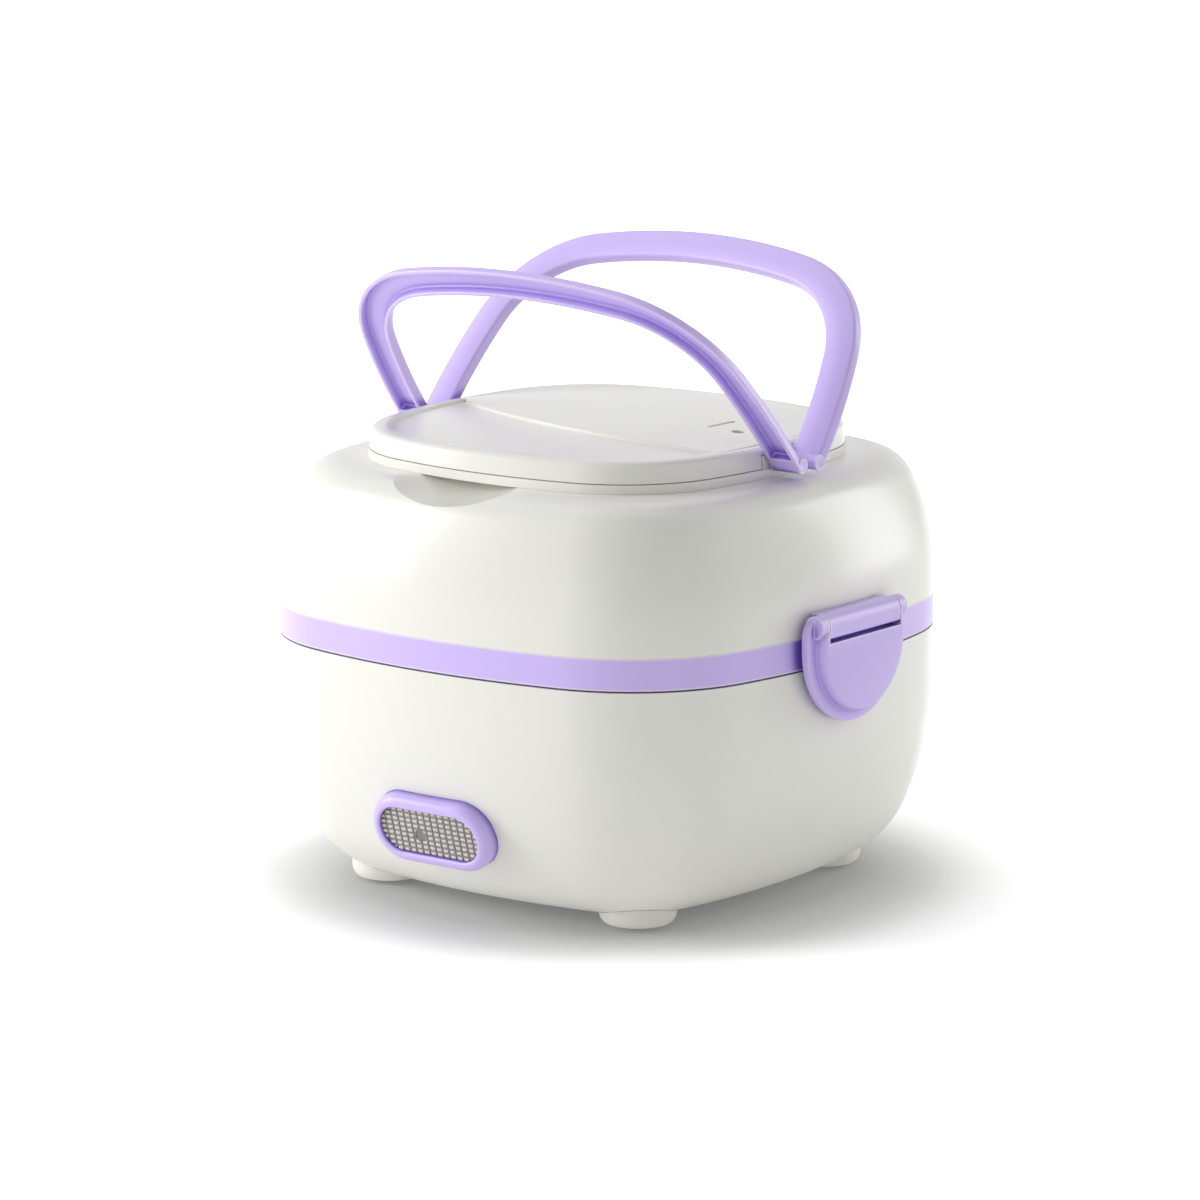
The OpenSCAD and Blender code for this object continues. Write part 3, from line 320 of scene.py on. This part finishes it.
def draw(name, outline, across=(1, 0, 0), up=(0, 0, 1)):
    """Draws a closed outline from one point, edge by edge, and leaves it selected in edit mode."""
    bpy.ops.object.select_all(action="DESELECT")
    bpy.ops.mesh.primitive_plane_add(size=MM)
    bpy.context.object.name = name
    bpy.ops.object.mode_set(mode="EDIT")
    bpy.ops.mesh.select_mode(type="VERT")
    bpy.ops.mesh.merge(type="CENTER")
    places = [(Vector(across) * p[0] + Vector(up) * p[1]) * MM for p in outline]
    bpy.ops.transform.translate(value=places[0])
    for here, there in zip(places, places[1:] + places[:1]):
        bpy.ops.mesh.extrude_region_move(TRANSFORM_OT_translate={"value": there - here})
    bpy.ops.mesh.select_all(action="SELECT")
    bpy.ops.mesh.remove_doubles(threshold=0.001 * MM)
    return bpy.context.object

def spin(centre, angle, steps):
    """Spins what is selected anticlockwise about an upright line through a point of the plane."""
    bpy.ops.mesh.spin(steps=steps, angle=-angle, center=(centre[0] * MM, centre[1] * MM, 0), axis=(0, 0, 1))

def pull(x, y, z):
    """Extrudes what is selected along a straight line."""
    bpy.ops.mesh.extrude_region_move(TRANSFORM_OT_translate={"value": Vector((x, y, z)) * MM})

def close_up(cap_ends=True):
    """Merges seams, closes open ends, turns all faces outward and leaves edit mode."""
    bpy.ops.mesh.select_all(action="SELECT")
    bpy.ops.mesh.remove_doubles(threshold=0.002 * MM)
    if cap_ends:
        bpy.ops.mesh.fill_holes(sides=0)
        bpy.ops.mesh.select_all(action="SELECT")
    bpy.ops.mesh.normals_make_consistent(inside=False)
    bpy.ops.object.mode_set(mode="OBJECT")

def block(low, high):
    """A plain box between two corners, as a tool for a cut or a part of a union."""
    bpy.ops.object.select_all(action="DESELECT")
    middle = (Vector(low) + Vector(high)) / 2 * MM
    bpy.ops.mesh.primitive_cube_add(size=1, location=middle, scale=(Vector(high) - Vector(low)) * MM)
    return bpy.context.object

def rod(start, end, radius, sides=48):
    """A round bar between two points, as a tool for a cut or a part of a union."""
    bpy.ops.object.select_all(action="DESELECT")
    way = (Vector(end) - Vector(start)) * MM
    bpy.ops.mesh.primitive_cylinder_add(vertices=sides, radius=radius * MM, depth=way.length,
                                        location=Vector(start) * MM + way / 2,
                                        rotation=way.to_track_quat("Z", "Y").to_euler())
    return bpy.context.object

def combine(piece, tool, operation="DIFFERENCE"):
    """Cuts a piece with a tool, joins them or keeps what they share, and removes the tool."""
    bpy.ops.object.select_all(action="DESELECT")
    bpy.context.view_layer.objects.active = piece
    step = piece.modifiers.new(operation.lower(), "BOOLEAN")
    step.operation = operation
    step.object = tool
    step.solver = "EXACT"
    bpy.ops.object.modifier_apply(modifier=step.name)
    bpy.data.objects.remove(tool)

def round_edges(piece, width):
    """Rounds the sharp edges of a piece with an applied bevel."""
    bpy.ops.object.select_all(action="DESELECT")
    bpy.context.view_layer.objects.active = piece
    soften = piece.modifiers.new("round edges", "BEVEL")
    soften.width = width * MM
    soften.segments = 3
    soften.limit_method = "ANGLE"
    soften.angle_limit = math.radians(40)
    soften.use_clamp_overlap = True
    bpy.ops.object.modifier_apply(modifier=soften.name)

def finished(piece, finish, body, slot, *replaced, smooth=35):
    """Puts the piece's place into its mesh, shades it, dresses it, hangs it on its body's empty and hides
    the solids it replaces.
    """
    bpy.ops.object.select_all(action="DESELECT")
    piece.select_set(True)
    bpy.context.view_layer.objects.active = piece
    bpy.ops.object.transform_apply(location=True, rotation=True, scale=True)
    bpy.ops.object.shade_smooth_by_angle(angle=math.radians(smooth))
    if not piece.data.materials:
        piece.data.materials.append(finish)
    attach(piece, body)
    if replaced:
        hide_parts(*replaced)
    return piece

def twin(piece, name):
    """A copy of a piece, turned half round about the box's upright middle line."""
    bpy.ops.object.select_all(action="DESELECT")
    piece.select_set(True)
    bpy.context.view_layer.objects.active = piece
    bpy.ops.object.duplicate()
    copy = bpy.context.object
    copy.name = name
    bpy.ops.transform.rotate(value=math.pi, orient_axis="Z", center_override=(0, 0, 0))
    return copy

pivots = {joint["name"]: Vector(joint["pos_m"]) / MM for joint in frame["joints"] if "pos_m" in joint}
print("pivots:", {name: [round(v, 2) for v in place] for name, place in pivots.items()})

# %% [markdown]
# Each handle is a bail: a flat strap with a crowned face on one side and a shallow channel on the other,
# bent into a bowed arch. Its section is spun round the five arcs of the arch while it lies flat, and the
# whole arch is then leaned over about its pivot. The channel stops short of the feet, where the strap is
# solid round its pin.

# %% Handles
loop_half = 73.2
loop_corner = 40.4
loop_drop = 2.25
bow = math.radians(11.6)
lean = math.radians(39)
strap_width = 10.2
channel_stop = 3.8
channel_lip = 1.5
foot_radius = 2.2
pin_hole = 1.55
pin_stop = 3.3
strap = rounded([(0, -2.0, 0.3), (-0.9, 0.85, 1.2), (-5.3, 2.1, 10.0), (-10.2, 1.6, 0.9),
                 (-10.2, -2.0, 0.3), (-9.0, -2.0, 0.25), (-8.7, 0.6, 0.6), (-1.9, 0.6, 0.6),
                 (-1.35, -2.0, 0.25)])
reach = (loop_half - loop_corner) / (1 - math.cos(bow) + math.sin(bow))
side_radius = loop_corner + reach
corner_place = reach * math.sin(bow)
start_angle = math.asin(loop_drop / side_radius)

rear = draw("rear_bail", [(loop_half + x, z) for x, z in strap])
bpy.ops.transform.translate(value=(0, -loop_drop * MM, 0))
side_centre = (loop_half - side_radius, -loop_drop)
bpy.ops.transform.rotate(value=-start_angle, orient_axis="Z",
                         center_override=(side_centre[0] * MM, side_centre[1] * MM, 0))
spin(side_centre, bow - start_angle, 8)
spin((corner_place, corner_place - loop_drop), math.pi / 2 - 2 * bow, 20)
spin((0, loop_half - side_radius - loop_drop), 2 * bow, 16)
spin((-corner_place, corner_place - loop_drop), math.pi / 2 - 2 * bow, 20)
spin((-side_centre[0], -loop_drop), bow - start_angle, 8)
close_up()
foot_in = loop_half - strap_width
for side in (-1, 1):
    plug = sorted((side * (loop_half - channel_lip), side * (loop_half - 8.85)))
    combine(rear, block((plug[0], 0.01, -1.8), (plug[1], channel_stop, 1.0)), "UNION")
    foot = rod((side * (foot_in - 0.1), 0, 0), (side * (loop_half - 0.3), 0, 0), foot_radius)
    combine(rear, foot, "UNION")
    combine(rear, rod((side * (foot_in - 1), 0, 0), (side * (loop_half - pin_stop), 0, 0), pin_hole))
rear.rotation_euler = (math.pi / 2 - lean, 0, 0)
rear.location = pivots["rear_handle_hinge"] * Vector((0, 1, 1)) * MM
finished(rear, lavender, "rear_handle", "lavender", "rear_handle")
finished(twin(rear, "front_bail"), lavender, "front_handle", "lavender", "front_handle")
print("rear bail:", len(rear.data.polygons), "faces")

# %% [markdown]
# A latch is a flap with a raised face: its outline, a half round under two rounded corners, is filled,
# extruded for the rim, inset, and extruded again. The edges are rounded while the form is still simple.
# Then the notch for the hinge block, the hollow behind the face, the round top about the pin and the
# pin's hole are cut, and the hook that snaps under the catch of the base is joined on. All heights are
# measured from the pin.

# %% Latches
flap_half = 23.4
flap_top = 3.3
flap_low = -30.0
flap_back = -2.7
flap_corner = 6.5
rim_step = 3.4
face_out = 3.3
face_wall = 1.9
face_draft = 0.965
notch_half = 17.55
notch_low = -4.7
ear_radius = 3.25
pin_reach = 19.6
hook_half = 7.0
hook_low = -24.4
hook_high = -23.0
far = 30

flap_corners = [(-flap_half, flap_top, flap_corner), (-flap_half, flap_low, flap_half),
                (flap_half, flap_low, flap_half), (flap_half, flap_top, flap_corner)]
flap = draw("flap_right", rounded(flap_corners, steps=10), across=(0, 1, 0))
bpy.ops.transform.translate(value=(flap_back * MM, 0, 0))
bpy.ops.mesh.edge_face_add()
pull(-flap_back, 0, 0)
bpy.ops.mesh.inset(thickness=rim_step * MM)
pull(face_out, 0, 0)
bpy.ops.transform.resize(value=(1, face_draft, face_draft))
close_up()
round_edges(flap, 0.5)
round_middle = flap_low + flap_half
hollow_front = face_out - face_wall
hollow = rod((-10, 0, round_middle), (hollow_front, 0, round_middle), flap_half - rim_step - face_wall)
combine(hollow, block((-20, -far, notch_low - 2.2), (20, far, 40)))
combine(flap, hollow)
combine(flap, block((-10, -notch_half, notch_low), (10, notch_half, 20)))
crest = block((-12, -far, 0), (12, far, 12))
combine(crest, rod((0, -far - 1, 0), (0, far + 1, 0), ear_radius))
combine(flap, crest)
for side in (-1, 1):
    combine(flap, rod((0, side * notch_half, 0), (0, side * (flap_half - 2.6), 0), ear_radius), "UNION")
combine(flap, rod((0, -20, 0), (0, 20, 0), 1.3))
combine(flap, block((-2.05, -hook_half, hook_low), (hollow_front + 0.3, hook_half, hook_high)), "UNION")
flap.location = pivots["latch_right_hinge"] * MM
finished(flap, lavender, "latch_right", "lavender", "latch_right", smooth=30)
finished(twin(flap, "flap_left"), lavender, "latch_left", "lavender", "latch_left", smooth=30)

for name, side in (("flap_pin_right", 1), ("flap_pin_left", -1)):
    place = pivots["latch_right_hinge"] * Vector((side, 1, 1))
    pin = rod(place - Vector((0, pin_reach, 0)), place + Vector((0, pin_reach, 0)), 1.25)
    pin.name = name
    round_edges(pin, 0.2)
    finished(pin, plated_sheet, "lid", "sheet_metal", *(["latch_pins"] if side > 0 else []))
print("flap:", len(flap.data.polygons), "faces")

# %% [markdown]
# The indicator is a rounded bezel round a frosted window. The bezel's section is spun about one end, pulled
# along the straight side, spun about the other end and pulled back. The window is a grid of small beads:
# each cell is inset and raised, and the beaded sheet is then closed to a solid and cut to the window's
# outline. The grooves between the beads are drawn in a darker grey, a painted shade. A shallow round dent
# in the same painted shade marks the lamp behind it.

# %% Indicator
belly_radius = 94.0
belly_height = 58.5
belly_half = 85.3
window_height = 27.9
window_tilt = math.radians(16)
window_reach = 10.5
wall = belly_half - belly_radius + math.sqrt(belly_radius ** 2 - (belly_height - window_height) ** 2)
window_turn = Matrix.Rotation(math.pi / 2 + window_tilt, 4, "X")
window_place = Matrix.Translation(Vector((0, -wall, window_height)) * MM) @ window_turn

bezel_section = rounded([(7.1, -6, 0.1), (10.5, -6, 0.1), (10.5, 4.4, 2.5), (7.1, 4.4, 0.8)], steps=6)
bezel = draw("window_bezel", bezel_section, across=(0, -1, 0))
bpy.ops.transform.translate(value=(window_reach * MM, 0, 0))
spin((window_reach, 0), math.pi, 28)
pull(-2 * window_reach, 0, 0)
spin((-window_reach, 0), math.pi, 28)
pull(2 * window_reach, 0, 0)
close_up(cap_ends=False)
bezel.matrix_world = window_place
finished(bezel, lavender, "base", "lavender", "indicator_bezel")

bead_wide = 2.4
bead_high = 1.6
bead_columns = 15
bead_rows = 9
window_radius = 6.95
window_front = 2.9
window_back = 3.4
bpy.ops.object.select_all(action="DESELECT")
bpy.ops.mesh.primitive_grid_add(x_subdivisions=bead_columns, y_subdivisions=bead_rows, size=1)
window = bpy.context.object
window.name = "window_beads"
# The grooves take the darker grey, a painted shade, and the bead tops take the frosted plastic.
window.data.materials.append(groove_painted_shade)
window.data.materials.append(frosted)
bpy.ops.object.mode_set(mode="EDIT")
bpy.ops.transform.resize(value=(bead_wide * bead_columns * MM, bead_high * bead_rows * MM, 1))
bpy.ops.mesh.select_mode(type="FACE")
bpy.ops.mesh.select_all(action="SELECT")
bpy.ops.mesh.inset(thickness=0.12 * MM, depth=0.1 * MM, use_individual=True)
window.active_material_index = 1
bpy.ops.mesh.inset(thickness=0.22 * MM, depth=0.25 * MM, use_individual=True)
bpy.ops.object.material_slot_assign()
bpy.ops.mesh.inset(thickness=0.22 * MM, depth=0.14 * MM, use_individual=True)
bpy.ops.mesh.select_mode(type="EDGE")
bpy.ops.mesh.select_all(action="DESELECT")
bpy.ops.mesh.select_non_manifold()
pull(0, 0, -window_back)
bpy.ops.mesh.edge_face_add()
close_up(cap_ends=False)
window_end = window_reach + window_radius
window_corners = [(x * window_end, y * window_radius, window_radius)
                  for x, y in ((-1, 1), (-1, -1), (1, -1), (1, 1))]
opening = draw("opening", rounded(window_corners, steps=12), up=(0, 1, 0))
bpy.ops.transform.translate(value=(0, 0, -10 * MM))
bpy.ops.mesh.edge_face_add()
pull(0, 0, 20)
close_up()
combine(window, opening, "INTERSECT")
# The dent's faces take the grooves' painted shade, a dark spot where the lamp stands behind.
lamp_dent = rod((-3.6, -1.1, 0.12), (-3.6, -1.1, 4), 1.9)
lamp_dent.data.materials.append(groove_painted_shade)
combine(window, lamp_dent)
window.matrix_world = window_place @ Matrix.Translation((0, 0, window_front * MM))
finished(window, frosted, "base", "lens", "indicator_lens", smooth=20)
print("window:", len(window.data.polygons), "faces")

# %% [markdown]
# The floor is a broad matt white sheet. Where it is seen and nothing stands close by, it gives some light
# of its own, so that the open floor runs into the white background. Close to the box its colour is drawn
# darker, which deepens the soft contact shadow as the photograph has it. For other rays it stays white,
# with a faint glow.

# %% Floor
bpy.ops.object.select_all(action="DESELECT")
bpy.ops.mesh.primitive_plane_add(size=12, location=(0, 0, -0.0002))
floor = bpy.context.object
floor.name = "studio_floor"
paper, tree, shader, place = start_material("paper, matt white")
fibres = add_node(tree, "ShaderNodeTexNoise", {"Vector": place, "Scale": 1 / (8 * MM)})
tone = add_node(tree, "ShaderNodeMix",
                {"Factor": fibres.outputs["Fac"], 6: srgb("#FAFAFA"), 7: srgb("#F7F7F7")}, data_type="RGBA")
contact = add_node(tree, "ShaderNodeAmbientOcclusion", {"Distance": 0.05}, samples=16)
closeness = add_node(tree, "ShaderNodeMapRange", {"Value": contact.outputs["AO"], "From Min": 0.3,
                     "From Max": 0.85, "To Min": 1.0, "To Max": 0.0})
shaded = add_node(tree, "ShaderNodeMath", {0: seen_rays(tree), 1: closeness.outputs[0]},
                  operation="MULTIPLY")
# Painted shadow: for seen rays the floor's colour is drawn darker close to the box.
paper_tone_and_painted_shadow = add_node(tree, "ShaderNodeMix",
                      {"Factor": shaded.outputs[0], 6: tone.outputs[2], 7: srgb("#AEAEAE")},
                      data_type="RGBA")
tree.links.new(paper_tone_and_painted_shadow.outputs[2], shader.inputs["Base Color"])
shader.inputs["Roughness"].default_value = 0.9
shader.inputs["Specular IOR Level"].default_value = 0.1
shader.inputs["Emission Color"].default_value = (1, 1, 1, 1)
near = add_node(tree, "ShaderNodeAmbientOcclusion", {"Distance": 0.12}, samples=16)
open_floor = add_node(tree, "ShaderNodeMapRange",
                      {"Value": near.outputs["AO"], "From Min": 0.6, "From Max": 1.0, "To Max": 0.75})
glow = add_node(tree, "ShaderNodeMath", {0: seen_rays(tree), 1: open_floor.outputs[0], 2: 0.1},
                operation="MULTIPLY_ADD")
tree.links.new(glow.outputs[0], shader.inputs["Emission Strength"])
floor.data.materials.append(paper)
print("floor:", floor.name)
